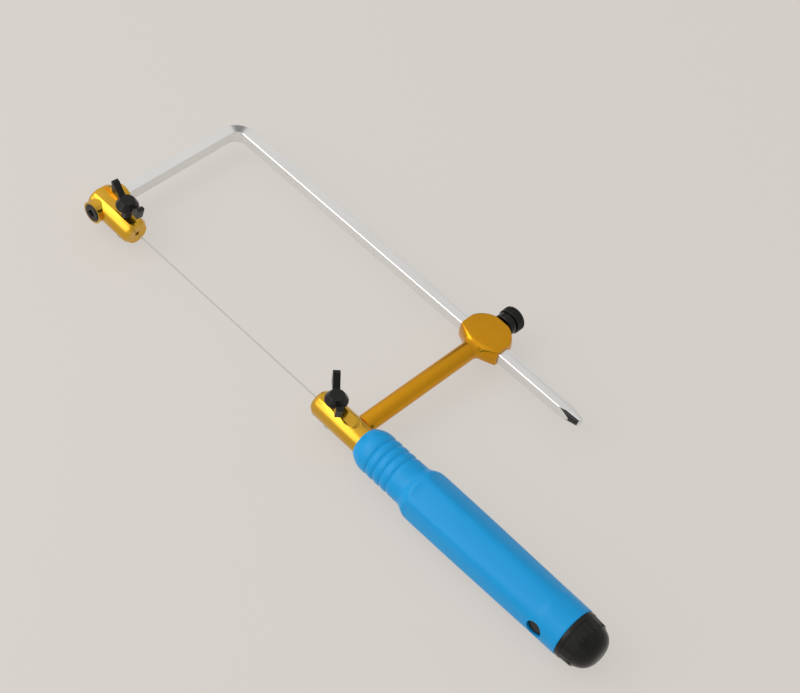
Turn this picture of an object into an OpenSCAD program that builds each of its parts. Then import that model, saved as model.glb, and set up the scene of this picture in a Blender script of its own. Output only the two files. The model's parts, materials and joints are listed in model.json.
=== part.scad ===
// Fret saw with an adjustable frame: a bent square bar, two screw clamps for the blade and a hollow handle.
// X runs along the blade and the handle towards the butt, Y from the blade to the bar, Z up through the wing screws.
// The origin lies on the handle's axis, in the middle of the plain round band at its butt.

/* [Frame bar] */
// Side of the square bar
bar_size = 5; // [4:0.5:6]
// Distance from the blade to the middle of the bar
throat_depth = 69; // [50:1:110]
// Radius of the bend at the middle of the bar
bend_radius = 6.5; // [5:0.5:12]
// Length of bar that stands out behind the lock head
bar_tail = 40.5; // [35:0.5:70]
// Flat along the four long edges
bar_edge = 0.35; // [0.2:0.05:0.6]
// Length of the turned taper at the free end
tip_length = 9.2; // [4:0.1:12]
// Width across the taper at its very end
tip_diameter = 3.4; // [3:0.1:5]

/* [Blade] */
// Length of the whole blade
blade_length = 130; // [110:1:160]
// Height of the blade from back to tooth points
blade_width = 0.6; // [0.5:0.05:1.3]
// Thickness of the blade
blade_thickness = 0.3; // [0.2:0.05:0.6]
// Length of blade held inside each clamp
blade_hold = 14; // [12:0.25:15.5]
// Distance from tooth to tooth
tooth_pitch = 1.25; // [0.8:0.05:2]
// Depth of the teeth
tooth_depth = 0.2; // [0.1:0.05:0.25]

/* [Blade clamps] */
// Diameter of the two round clamp bodies
clamp_diameter = 11; // [10:0.5:13]
// Height of the milled flat over the blade
flat_height = 5; // [4.6:0.1:5.2]
// Width of the cutter that mills the flat
mill_diameter = 4.7; // [4.2:0.1:5.6]
// How much smaller the nose of each clamp is, on each side
nose_chamfer = 1.1; // [0.5:0.1:1.8]
// Length of the cone at the nose
nose_taper = 2; // [1:0.1:2.4]
// Bore that the blade runs in
blade_bore = 1.9; // [1.6:0.1:2.4]
// Free length of that bore ahead of the blade's end
blade_stop = 0.5; // [0.2:0.1:1]
// Width of the countersink at the mouth of that bore
mouth_diameter = 3.6; // [2.8:0.1:5]
// Distance from the bar's leg to the front nose
front_reach = 18.8; // [17.8:0.1:24]
// Distance from the front nose back to its wing screw
front_screw_setback = 6.7; // [6.2:0.1:8]
// Distance from the rear nose to the handle
rear_reach = 24.2; // [23.5:0.1:32]
// Distance from the rear nose back to its wing screw
rear_screw_setback = 7.8; // [6.2:0.1:10]
// Distance from the rear nose back to the post
post_setback = 18.5; // [17.5:0.1:19.5]
// How far the flat's round end lies behind the post
flat_overrun = 2.2; // [1:0.1:2.6]
// Depth of the post's seat in the rear clamp
seat_depth = 1; // [0.6:0.1:1.4]

/* [Leg socket] */
// Diameter of the socket that holds the bar's leg
socket_diameter = 13.6; // [12.6:0.2:16]
// Distance from the blade to the socket's near side
socket_start = 1.6; // [0.5:0.1:2]
// Reach of the socket from the blade towards the bar
socket_reach = 5.5; // [5:0.1:5.8]
// Radius of the socket's round shoulder
socket_round = 2; // [1:0.1:2]
// Radius of the front clamp's round end
end_round = 2; // [1:0.1:3]
// Diameter of the collar round the bar's leg
leg_collar_diameter = 9.4; // [8.6:0.1:9.6]
// Reach of that collar from the blade towards the bar
leg_collar_reach = 9.2; // [7:0.1:14]
// Diameter of the boss round the socket screw
boss_diameter = 9.2; // [9:0.1:9.6]
// Reach of the boss from the blade away from the bar
boss_length = 6.9; // [6.5:0.1:8]
// Diameter of the socket screw's head
head_diameter = 7.6; // [7:0.1:8]
// Height of the socket screw's head
head_height = 2.4; // [2:0.1:2.8]
// How far that head stands out of the boss
head_proud = 0.4; // [0.1:0.1:0.8]
// Diameter of the socket screw's shank
shank_diameter = 3; // [2.5:0.1:3.2]
// Length of the socket screw's shank inside the leg
shank_length = 9; // [7:0.5:12]
// Free depth of the leg's bore past the shank
shank_clear = 1; // [0.5:0.1:2]
// Width across the flats of the hexagon socket
hex_width = 3; // [2.5:0.1:3.5]
// Depth of the hexagon socket
hex_depth = 1.4; // [1:0.1:1.6]
// Distance of the bar's leg end from the blade, on the boss side
leg_overrun = 2.8; // [2.6:0.1:3.2]

/* [Clamp screws] */
// Diameter of the threaded studs
stud_diameter = 4; // [3.6:0.1:4.4]
// Diameter of the pads that press on the blade and on the bar
pad_diameter = 3.4; // [3:0.1:3.5]
// Thickness of those pads
pad_thickness = 0.9; // [0.6:0.1:1.2]
// Diameter of the anvil pins under the blade
anvil_diameter = 3.6; // [3:0.1:4.4]
// Diameter of the anvil's round head
anvil_head_diameter = 7; // [5:0.1:7.4]
// How deep that head is let into the clamp's underside
anvil_sink = 1.5; // [1.2:0.1:2]
// How far that head stands out of the clamp's underside
anvil_proud = 0.25; // [0.1:0.05:0.8]
// Diameter of the wing knob's foot
hub_diameter = 8.6; // [7:0.2:10]
// Diameter of the wing knob's top
hub_top_diameter = 4.8; // [4.6:0.1:6.5]
// Height of the wing knob's hub
hub_height = 2.5; // [2.1:0.1:4]
// Free height under the closed front wing knob
front_lift = 5.4; // [2:0.1:9]
// Free height under the closed rear wing knob
rear_lift = 3.3; // [2:0.1:9]
// How far the stud reaches into the wing knob
stud_grip = 1.6; // [1.2:0.1:1.8]
// Distance from tip to tip of the wings
wing_span = 18.4; // [16:0.2:20]
// Thickness of the wings
wing_thickness = 2.6; // [2:0.1:3.2]
// Height of the wings' lower edge at the hub
wing_foot = 0.3; // [0.1:0.1:0.6]
// Height of the wings' upper edge at the hub
wing_crown = 2.2; // [1.6:0.1:2.4]
// Distance from knee to knee, where the wings' lower edges turn up
knee_span = 14; // [11:0.2:15]
// Height of those knees over the knob's foot
knee_height = 0.7; // [0.4:0.1:1.2]
// Height of the wing tips over the knob's foot
wing_height = 5.9; // [4.5:0.1:8]
// Height of a wing's upright end
wing_tip_height = 0.7; // [0.4:0.1:2]
// Width of a wing's flat top
wing_tip_width = 1.5; // [1:0.1:2.2]
// Angle at which the front wing screw stands
front_wing_angle = 174; // [0:1:360]
// Angle at which the rear wing screw stands
rear_wing_angle = 140; // [0:1:360]

/* [Post and lock head] */
// Diameter of the post
post_diameter = 7.4; // [6.8:0.1:8]
// Diameter of the post's threaded foot
spigot_diameter = 4.8; // [4:0.1:5.4]
// Length of that foot inside the rear clamp
spigot_length = 2.6; // [2:0.1:3]
// Radius of the round lock head
lock_radius = 10.2; // [10:0.1:11.4]
// Length of the lock head along the bar
lock_length = 19.4; // [18:0.1:19.6]
// Height of the lock head between its flats
lock_height = 8.4; // [7.8:0.1:9.4]
// Distance from the bar back to where the flare's slope meets the post
neck_distance = 7.1; // [6.6:0.1:9]
// Radius of the fillet between the flare and the post
neck_fillet = 4; // [2:0.1:6]
// Distance from the bar back to where the flare meets the round head
flare_distance = 3.2; // [2:0.1:5]
// Distance from the bar to the lock head's outer face
face_distance = 9.5; // [9:0.1:9.8]
// Diameter of the lock knob's knurled end
knob_diameter = 10.3; // [8:0.1:12]
// Length of the knurled end
knob_length = 4.2; // [3.5:0.1:7]
// Diameter of the plain collar under the knurled end
collar_diameter = 9.2; // [9:0.1:10]
// Length of that collar
collar_length = 3; // [2:0.1:4.5]
// Width of the groove between the collar and the knurled end
seam_width = 0.4; // [0.2:0.1:0.8]
// Depth of that groove under the knurled end
seam_depth = 0.8; // [0.4:0.05:0.8]
// Free length under the closed lock knob
knob_lift = 1; // [0.4:0.1:1.5]
// Grooves of the knurl round the knob
knurl_count = 28; // [20:1:40]
// Diameter of the cutter that makes the knurl
knurl_diameter = 0.6; // [0.4:0.05:0.65]
// Chamfer on the edges of the knob and of the socket screw
turned_edge = 0.5; // [0.2:0.1:0.8]

/* [Handle] */
// Length of the handle without its cap
handle_length = 103.2; // [98:0.1:130]
// Width of the lip at the handle's mouth
mouth_lip = 0.55; // [0.4:0.05:1]
// Diameter of the ribbed neck
neck_diameter = 16.7; // [15.5:0.1:18]
// Length of the rounded nose before the ribs
bolster_length = 5.2; // [4:0.1:6]
// Radius of that nose where it meets the neck
bolster_round = 3.2; // [2:0.1:4]
// Distance from the mouth to the first groove
groove_start = 8.6; // [7:0.1:9]
// Distance from groove to groove
groove_pitch = 3.5; // [3:0.1:4]
// Number of grooves round the neck
groove_count = 4; // [2:1:4]
// Depth of those grooves
groove_depth = 0.36; // [0.2:0.02:0.5]
// Radius of the round cutter of those grooves
groove_radius = 2.2; // [1.2:0.1:3]
// Distance from the mouth to the shoulder's foot
shoulder_start = 25.4; // [24:0.1:28]
// Length of the shoulder
shoulder_length = 5; // [4:0.1:7]
// Radius of the shoulder's outer edge
shoulder_round = 2.5; // [1:0.1:4]
// Diameter of the grip behind the shoulder
grip_diameter = 21; // [20.4:0.1:23]
// Diameter of the plain band at the butt
band_diameter = 19.8; // [19.6:0.1:20.4]
// Length of the plain band
band_length = 8; // [6:0.5:12]
// Flat panels round the grip
panel_count = 6; // [5:1:8]
// Distance of each panel from the handle's axis
panel_height = 9.35; // [9.2:0.05:9.6]
// Radius of the cutter that ends each panel
panel_cutter = 10; // [6:0.5:16]
// Distance from the shoulder to a panel's full depth
panel_start = 0.6; // [0:0.1:4]
// Distance from a panel's full depth to the band
panel_end = 4.8; // [4:0.1:8]
// Diameter of the hollow inside the grip
hollow_diameter = 14; // [12.6:0.1:14.6]
// Distance from the mouth to the floor of the hollow
hollow_start = 26; // [25:0.5:30]
// How far the rear clamp's body sits in the handle
insert_depth = 4.5; // [3:0.1:6]

/* [Tang] */
// Diameter of the threaded tang
tang_diameter = 6; // [5:0.1:7]
// Thickness of the washer on the tang
washer_thickness = 1.2; // [0.8:0.1:2]
// Diameter of that washer
washer_diameter = 12; // [11.6:0.1:12.4]
// Width across the flats of the tang nut
nut_width = 10; // [9.6:0.1:10.4]
// Height of the tang nut
nut_height = 5; // [4:0.1:6]
// Length of tang that stands out of the nut
tang_tail = 1.5; // [0.5:0.1:3]

/* [End cap] */
// Length of the cap outside the handle
cap_length = 12.8; // [11:0.1:16]
// How much smaller the cap's rim is than the band
cap_step = 0.2; // [0.2:0.1:1]
// Length of the straight rim
rim_length = 2; // [1:0.1:3]
// Diameter of the ribbed side next to the rim
side_diameter = 18.9; // [18.2:0.1:19.2]
// Diameter of the ribbed side next to the dome
side_end_diameter = 17.8; // [17.2:0.1:18.6]
// Distance from the handle to the dome
dome_start = 7; // [6:0.1:8]
// Diameter of the dome
dome_diameter = 17; // [16:0.1:17.2]
// Grooves between the ribs of the cap's side
rib_count = 24; // [16:1:32]
// Diameter of the cutter that makes those grooves
rib_diameter = 1; // [0.6:0.1:1.4]
// Depth of those grooves at the dome's edge
rib_depth = 0.15; // [0.05:0.05:0.25]
// Plain length between the rim and those grooves
rib_land = 0.3; // [0.1:0.1:1]
// Length of the plug inside the handle
plug_length = 16; // [15:0.1:22]
// Chamfer at the plug's inner end
plug_chamfer = 0.6; // [0.3:0.1:1]
// Wall of the plug that the latch tongue is fixed against
root_wall = 1.2; // [0.8:0.1:2]
// Length of the tongue's thick root
root_length = 2; // [1.5:0.1:3]
// Distance of the tongue from the hollow's wall
tongue_inset = 1; // [0.8:0.1:1.2]
// Diameter of the latch button
latch_diameter = 6.2; // [5:0.1:6.6]
// Distance from the butt to the middle of the latch button
latch_setback = 10; // [9.8:0.1:11]
// Travel of the latch button when it is pressed
latch_travel = 2.6; // [2.5:0.1:2.8]
// Thickness of the latch tongue
tongue_thickness = 1.2; // [0.9:0.1:1.4]
// Depth of the latch button's face under the panel
latch_recess = 0.8; // [0.6:0.1:1.8]

/* [Clearances] */
// Gap on each side of the bar where it slides
slide_gap = 0.12; // [0.05:0.01:0.3]
// Gap round a stud in its bore
thread_gap = 0.05; // [0.02:0.01:0.1]
// Gap between pieces that are pressed or screwed together
seat_gap = 0.02; // [0.01:0.01:0.05]
// Gap between a pad or anvil and what it holds
grip_gap = 0.03; // [0.01:0.01:0.1]
// Gap round the cap's plug in the handle
plug_gap = 0.3; // [0.1:0.05:0.4]
// Gap round the latch button in the handle's wall
latch_gap = 0.25; // [0.1:0.05:0.4]

/* [Hidden] */
$fn = 64;

gold = [0.85, 0.60, 0.10];
blue = [0.07, 0.47, 0.82];
black = [0.06, 0.06, 0.06];
steel = [0.78, 0.79, 0.80];
dark_steel = [0.28, 0.28, 0.29];
brass = [0.75, 0.62, 0.30];

// A cut runs this far past the face that it opens
cut = 1;
// Narrow flat that stays between a round shoulder and what stands on it
shoulder_land = 0.1;

// Stations along X, from the butt forwards
butt_x = band_length / 2;
mouth_x = butt_x - handle_length;
rear_nose_x = mouth_x - rear_reach;
rear_screw_x = rear_nose_x + rear_screw_setback;
post_x = rear_nose_x + post_setback;
front_nose_x = rear_nose_x - (blade_length - 2 * blade_hold);
front_screw_x = front_nose_x - front_screw_setback;
leg_x = front_nose_x - front_reach;
blade_start_x = front_nose_x - blade_hold;
bar_tip_x = post_x + lock_length / 2 + bar_tail;
insert_x = mouth_x + insert_depth;
hollow_x = mouth_x + hollow_start;
washer_x = hollow_x + seat_gap;
nut_x = washer_x + washer_thickness + seat_gap;
tang_end_x = nut_x + nut_height + tang_tail;

// Heights of what the clamp screws press together
blade_top = blade_thickness / 2;
pad_foot = blade_top + grip_gap;
pad_head = pad_foot + pad_thickness;
stud_foot = pad_head + grip_gap;
stud_bore = stud_diameter + 2 * thread_gap;
front_knob_foot = flat_height + front_lift;
rear_knob_foot = flat_height + rear_lift;

// Stations along Y at the lock head and at the post's foot
bar_face = throat_depth + bar_size / 2;
lock_pad_y = bar_face + grip_gap;
lock_stud_y = lock_pad_y + pad_thickness + grip_gap;
knob_y = throat_depth + face_distance + knob_lift;
post_seat_y = clamp_diameter / 2 - seat_depth;

// Distances of the latch tongue's two faces and of its slot's floor from the handle's axis
tongue_face = hollow_diameter / 2 - tongue_inset;
tongue_back = tongue_face - tongue_thickness;
slot_floor = tongue_back - latch_travel - latch_gap;

module along_x(x, length, diameter) {
    translate([x, 0, 0]) rotate([0, 90, 0]) cylinder(h = length, d = diameter);
}

module along_y(x, y, length, diameter) {
    translate([x, y, 0]) rotate([-90, 0, 0]) cylinder(h = length, d = diameter);
}

module along_z(x, z, length, diameter) {
    translate([x, 0, z]) cylinder(h = length, d = diameter);
}

// Turns an outline of [radius, length] points about the X axis
module turn_x(x) {
    translate([x, 0, 0]) rotate([0, 90, 0]) rotate_extrude() children();
}

// Turns an outline of [radius, length] points about the Y axis
module turn_y(x, y) {
    translate([x, y, 0]) rotate([-90, 0, 0]) rotate_extrude() children();
}

function arc(centre, radius, from, to, steps = 8) = [
    for (i = [0:steps])
        let (a = from + (to - from) * i / steps)
        centre + radius * [cos(a), sin(a)]
];

// Outline of a round blade clamp from its chamfered nose at 0 to its end, which may be rounded
module clamp_blank(length, rounding = 0) {
    r = clamp_diameter / 2;
    last = rounding > 0 ? arc([r - rounding, length - rounding], rounding, 0, 90) : [[r, length]];
    polygon(concat([[0, 0], [r - nose_chamfer, 0], [r, nose_taper]], last, [[0, length]]));
}

// Blade bore from the nose inwards, with its countersunk mouth
module blade_way(nose_x, direction, length) {
    mouth = mouth_diameter - blade_bore;
    translate([nose_x, 0, 0]) rotate([0, 90 * direction, 0]) {
        translate([0, 0, -cut]) cylinder(h = length + cut, d = blade_bore);
        cylinder(h = mouth / 2, d1 = mouth_diameter, d2 = blade_bore);
    }
}

// Upright threaded bore for a clamp screw, with the anvil's stepped bore under it
module screw_way(x) {
    along_z(x, -blade_top - grip_gap, flat_height + blade_thickness + cut, stud_bore);
    along_z(x, -clamp_diameter, clamp_diameter, anvil_diameter + 2 * seat_gap);
    along_z(x, -clamp_diameter, clamp_diameter / 2 + anvil_sink, anvil_head_diameter + 2 * seat_gap);
}

module bar_section() {
    s = bar_size / 2;
    e = s - bar_edge;
    polygon([[s, -e], [s, e], [e, s], [-e, s], [-s, e], [-s, -e], [-e, -s], [e, -s]]);
}

module frame_bar() {
    bend_x = leg_x + bend_radius;
    bend_y = throat_depth - bend_radius;
    taper_x = bar_tip_x - tip_length;
    corner_diameter = 2 * norm([bar_size / 2, bar_size / 2 - bar_edge]) + bar_edge;
    color(steel) difference() {
        union() {
            translate([bend_x, throat_depth, 0]) rotate([0, 90, 0])
                linear_extrude(taper_x - bend_x) bar_section();
            translate([bend_x, bend_y, 0]) rotate([0, 0, 90])
                rotate_extrude(angle = 90) translate([bend_radius, 0]) bar_section();
            translate([leg_x, -leg_overrun, 0]) rotate([-90, 0, 0])
                linear_extrude(bend_y + leg_overrun) bar_section();
            intersection() {
                translate([taper_x, throat_depth, 0]) rotate([0, 90, 0])
                    linear_extrude(tip_length) bar_section();
                translate([taper_x, throat_depth, 0]) rotate([0, 90, 0])
                    cylinder(h = tip_length, d1 = corner_diameter, d2 = tip_diameter);
            }
        }
        along_y(leg_x, -leg_overrun - cut, shank_length + shank_clear + cut, shank_diameter + 2 * seat_gap);
    }
}

module front_clamp() {
    socket_r = socket_diameter / 2;
    boss_r = boss_diameter / 2;
    collar_r = leg_collar_diameter / 2;
    round_r = min(socket_round, socket_r - max(boss_r, collar_r) - shoulder_land);
    shoulder_r = socket_r - round_r;
    shoulder_y = socket_reach - round_r;
    leg_hole = bar_size + 2 * seat_gap;
    head_seat = boss_length + head_proud - head_height;
    color(gold) difference() {
        union() {
            translate([front_nose_x, 0, 0]) rotate([0, -90, 0])
                rotate_extrude() clamp_blank(front_reach + clamp_diameter / 2, end_round);
            turn_y(leg_x, 0) polygon(concat(
                [[0, -boss_length], [boss_r, -boss_length], [boss_r, socket_start], [socket_r, socket_start]],
                arc([shoulder_r, shoulder_y], round_r, 0, 90),
                [[collar_r, socket_reach], [collar_r, leg_collar_reach], [0, leg_collar_reach]]
            ));
        }
        translate([leg_x - socket_diameter, -mill_diameter / 2, flat_height])
            cube([front_reach + 2 * socket_diameter, mill_diameter, socket_diameter]);
        translate([leg_x - leg_hole / 2, -leg_overrun - seat_gap, -leg_hole / 2])
            cube([leg_hole, leg_collar_reach + leg_overrun + cut, leg_hole]);
        along_y(leg_x, -boss_length - cut, boss_length, shank_diameter + 2 * seat_gap);
        along_y(leg_x, -boss_length - cut, boss_length - head_seat + cut, head_diameter + 2 * seat_gap);
        blade_way(front_nose_x, -1, blade_hold + blade_stop);
        screw_way(front_screw_x);
    }
}

module socket_screw() {
    face_y = -boss_length - head_proud;
    seat = head_height - seat_gap;
    r = head_diameter / 2;
    color(black) difference() {
        union() {
            turn_y(leg_x, face_y)
                polygon([[0, 0], [r - turned_edge, 0], [r, turned_edge], [r, seat], [0, seat]]);
            along_y(leg_x, face_y, shank_length - leg_overrun - face_y, shank_diameter);
        }
        translate([leg_x, face_y - cut, 0]) rotate([-90, 0, 0])
            cylinder(h = hex_depth + cut, d = hex_width / cos(30), $fn = 6);
    }
}

module rear_clamp() {
    flat_end_x = post_x + flat_overrun - mill_diameter / 2;
    color(gold) difference() {
        union() {
            turn_x(rear_nose_x) clamp_blank(insert_x - rear_nose_x);
            along_x(insert_x - cut, tang_end_x - insert_x + cut, tang_diameter);
        }
        translate([rear_nose_x - cut, -mill_diameter / 2, flat_height])
            cube([flat_end_x - rear_nose_x + cut, mill_diameter, clamp_diameter]);
        along_z(flat_end_x, flat_height, clamp_diameter, mill_diameter);
        blade_way(rear_nose_x, 1, tang_end_x - rear_nose_x + cut);
        screw_way(rear_screw_x);
        along_y(post_x, post_seat_y, clamp_diameter, post_diameter + 2 * seat_gap);
        along_y(post_x, post_seat_y - spigot_length - seat_gap, clamp_diameter, spigot_diameter + 2 * seat_gap);
    }
}

module slide_post() {
    r = post_diameter / 2;
    foot = post_seat_y + seat_gap - throat_depth;
    way = bar_size + 2 * slide_gap;
    flare_angle = asin(flare_distance / lock_radius);
    face_angle = asin(face_distance / lock_radius);
    flare_rise = sqrt(lock_radius ^ 2 - flare_distance ^ 2) - r;
    slope = atan2(flare_rise, neck_distance - flare_distance);
    fillet_centre = [r + neck_fillet, -neck_distance - neck_fillet * tan(slope / 2)];
    color(gold) difference() {
        union() {
            along_y(post_x, post_seat_y - spigot_length, spigot_length + cut, spigot_diameter);
            intersection() {
                turn_y(post_x, throat_depth) polygon(concat(
                    [[0, foot], [r, foot]],
                    arc(fillet_centre, neck_fillet, 180, 180 - slope),
                    arc([0, 0], lock_radius, -flare_angle, face_angle, 16),
                    [[0, face_distance]]
                ));
                translate([post_x - lock_length / 2, 0, -lock_height / 2])
                    cube([lock_length, 2 * throat_depth, lock_height]);
            }
        }
        translate([post_x - lock_length, throat_depth - way / 2, -way / 2])
            cube([2 * lock_length, way, way]);
        along_y(post_x, throat_depth, 2 * lock_radius, stud_bore);
    }
}

// Anvil pin under the blade, with its round head let into the clamp
module anvil(x) {
    foot = -clamp_diameter / 2 - anvil_proud;
    color(dark_steel) union() {
        along_z(x, foot, -blade_top - grip_gap - foot, anvil_diameter);
        along_z(x, foot, anvil_proud + anvil_sink - seat_gap, anvil_head_diameter);
    }
}

module rear_anvil() {
    anvil(rear_screw_x);
}

module front_anvil() {
    anvil(front_screw_x);
}

module clamp_pad(x) {
    color(brass) along_z(x, pad_foot, pad_thickness, pad_diameter);
}

module rear_pad() {
    clamp_pad(rear_screw_x);
}

module front_pad() {
    clamp_pad(front_screw_x);
}

module clamp_stud(x, knob_foot) {
    color(dark_steel) along_z(x, stud_foot, knob_foot + stud_grip - stud_foot, stud_diameter);
}

module rear_stud() {
    clamp_stud(rear_screw_x, rear_knob_foot);
}

module front_stud() {
    clamp_stud(front_screw_x, front_knob_foot);
}

// Wing knob: a tapered hub with two flat wings that run out and then turn up
module wing_knob(x, knob_foot, angle) {
    tip = wing_span / 2;
    root = stud_diameter / 2 + 2 * seat_gap;
    color(black) translate([x, 0, knob_foot]) rotate([0, 0, angle]) difference() {
        union() {
            cylinder(h = hub_height, d1 = hub_diameter, d2 = hub_top_diameter);
            for (side = [0, 180])
                rotate([90, 0, side]) linear_extrude(wing_thickness, center = true) polygon([
                    [root, wing_foot], [knee_span / 2, knee_height], [tip, wing_height - wing_tip_height],
                    [tip, wing_height], [tip - wing_tip_width, wing_height], [root, wing_crown]
                ]);
        }
        translate([0, 0, -cut]) cylinder(h = stud_grip + seat_gap + cut, d = stud_diameter + 2 * seat_gap);
    }
}

module rear_wing_knob() {
    wing_knob(rear_screw_x, rear_knob_foot, rear_wing_angle);
}

module front_wing_knob() {
    wing_knob(front_screw_x, front_knob_foot, front_wing_angle);
}

module lock_pad() {
    color(brass) along_y(post_x, lock_pad_y, pad_thickness, pad_diameter);
}

module lock_stud() {
    color(dark_steel) along_y(post_x, lock_stud_y, knob_y + collar_length - lock_stud_y, stud_diameter);
}

module lock_knob() {
    r = knob_diameter / 2;
    collar_r = collar_diameter / 2;
    seam_r = r - seam_depth;
    knurl_start = collar_length + seam_width;
    length = knurl_start + knob_length;
    color(black) difference() {
        turn_y(post_x, knob_y) polygon([
            [0, 0], [collar_r - turned_edge, 0], [collar_r, turned_edge], [collar_r, collar_length],
            [seam_r, collar_length], [seam_r, knurl_start], [r, knurl_start],
            [r, length - turned_edge], [r - turned_edge, length], [0, length]
        ]);
        for (i = [0:knurl_count - 1])
            translate([post_x, knob_y, 0]) rotate([-90, 0, 0]) rotate([0, 0, 360 * i / knurl_count])
                translate([r, 0, knurl_start - seam_width / 2]) cylinder(h = length, d = knurl_diameter, $fn = 16);
        along_y(post_x, knob_y - cut, collar_length + cut + seat_gap, stud_diameter + 2 * seat_gap);
    }
}

module handle_outline() {
    mouth_r = clamp_diameter / 2 + seat_gap + mouth_lip;
    neck_r = neck_diameter / 2;
    grip_r = grip_diameter / 2;
    band_r = band_diameter / 2;
    bolster_slope = 43;
    shoulder_slope = 28;
    shoulder_end = shoulder_start + shoulder_length;
    polygon(concat(
        [[0, 0], [mouth_r, 0]],
        arc([neck_r - bolster_round, bolster_length], bolster_round, -bolster_slope, 0),
        [[neck_r, shoulder_start]],
        arc([grip_r - shoulder_round, shoulder_end], shoulder_round, -shoulder_slope, 0, 5),
        [[band_r, handle_length - band_length], [band_r, handle_length], [0, handle_length]]
    ));
}

// Cutter of one flat panel, lying along X over the grip, with its ends rounded
module panel_cut() {
    length = handle_length - band_length - panel_end - shoulder_start - shoulder_length - panel_start;
    start_x = mouth_x + shoulder_start + shoulder_length + panel_start;
    translate([start_x, 0, panel_height + panel_cutter]) rotate([90, 0, 0])
        linear_extrude(grip_diameter, center = true) union() {
            translate([0, -panel_cutter]) square([length, 2 * panel_cutter]);
            circle(panel_cutter);
            translate([length, 0]) circle(panel_cutter);
        }
}

module handle_grip() {
    color(blue) difference() {
        turn_x(mouth_x) handle_outline();
        for (i = [0:groove_count - 1])
            turn_x(mouth_x + groove_start + i * groove_pitch)
                translate([neck_diameter / 2 + groove_radius - groove_depth, 0]) circle(groove_radius);
        for (i = [0:panel_count - 1])
            rotate([90 + 360 * i / panel_count, 0, 0]) panel_cut();
        along_x(mouth_x - cut, insert_depth + cut, clamp_diameter + 2 * seat_gap);
        along_x(mouth_x, hollow_start + cut, tang_diameter + 2 * seat_gap);
        along_x(hollow_x, handle_length, hollow_diameter);
        along_y(butt_x - latch_setback, -grip_diameter, grip_diameter, latch_diameter + 2 * latch_gap);
    }
}

module tang_washer() {
    color(steel) difference() {
        along_x(washer_x, washer_thickness, washer_diameter);
        along_x(washer_x - cut, washer_thickness + 2 * cut, tang_diameter + 2 * seat_gap);
    }
}

module tang_nut() {
    color(steel) difference() {
        translate([nut_x, 0, 0]) rotate([0, 90, 0]) cylinder(h = nut_height, d = nut_width / cos(30), $fn = 6);
        along_x(nut_x - cut, nut_height + 2 * cut, tang_diameter + 2 * seat_gap);
    }
}

module end_cap() {
    plug_r = hollow_diameter / 2 - plug_gap;
    rim_r = band_diameter / 2 - cap_step;
    dome_r = dome_diameter / 2;
    dome_height = cap_length - dome_start;
    slot_width = latch_diameter + 2 * latch_gap;
    rib_radius = side_end_diameter / 2 + rib_diameter / 2 - rib_depth;
    color(black) difference() {
        turn_x(butt_x) polygon(concat(
            [[0, -plug_length], [plug_r - plug_chamfer, -plug_length], [plug_r, plug_chamfer - plug_length]],
            [[plug_r, seat_gap], [rim_r, seat_gap], [rim_r, rim_length]],
            [[side_diameter / 2, rim_length], [side_end_diameter / 2, dome_start]],
            [for (a = [0:9:90]) [dome_r * cos(a), dome_start + dome_height * sin(a)]]
        ));
        for (i = [0:rib_count - 1])
            rotate([360 * i / rib_count, 0, 0]) translate([butt_x + rim_length + rib_land, 0, rib_radius])
                rotate([0, 90, 0]) cylinder(h = cap_length, d = rib_diameter, $fn = 16);
        translate([butt_x - plug_length - cut, -hollow_diameter, -slot_width / 2])
            cube([plug_length + cut - root_wall, hollow_diameter - slot_floor, slot_width]);
    }
}

// Spring tongue with the round button that snaps into the handle's wall
module cap_latch() {
    tongue_end_x = butt_x - root_wall - seat_gap;
    tongue_x = butt_x - plug_length;
    face = panel_height - latch_recess;
    color(black) union() {
        translate([tongue_x, -tongue_face, -latch_diameter / 2])
            cube([tongue_end_x - tongue_x, tongue_thickness, latch_diameter]);
        translate([tongue_end_x - root_length, -tongue_face, -latch_diameter / 2])
            cube([root_length, tongue_face - slot_floor - seat_gap, latch_diameter]);
        along_y(butt_x - latch_setback, -face, face - tongue_back, latch_diameter);
    }
}

module blade() {
    pitch_count = floor((blade_length - 2 * blade_hold) / tooth_pitch);
    row_start = blade_start_x + blade_hold + (blade_length - 2 * blade_hold - pitch_count * tooth_pitch) / 2;
    back = blade_width / 2;
    root = tooth_depth - back;
    color(dark_steel) translate([0, 0, -blade_thickness / 2]) linear_extrude(blade_thickness) polygon(concat(
        [[blade_start_x, back], [blade_start_x, root]],
        [for (i = [0:pitch_count - 1], step = [0, 1])
            [row_start + (i + 0.75 * step) * tooth_pitch, step == 0 ? root : -back]],
        [[row_start + pitch_count * tooth_pitch, root]],
        [[blade_start_x + blade_length, root], [blade_start_x + blade_length, back]]
    ));
}

handle_grip();
rear_clamp();
tang_washer();
tang_nut();
slide_post();
rear_anvil();
rear_pad();
rear_stud();
rear_wing_knob();
lock_pad();
lock_stud();
lock_knob();
frame_bar();
front_clamp();
socket_screw();
front_anvil();
blade();
front_pad();
front_stud();
front_wing_knob();
end_cap();
cap_latch();
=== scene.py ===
import json
import math

import bmesh
import bpy
import numpy as np
from mathutils import Matrix, Vector


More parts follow.
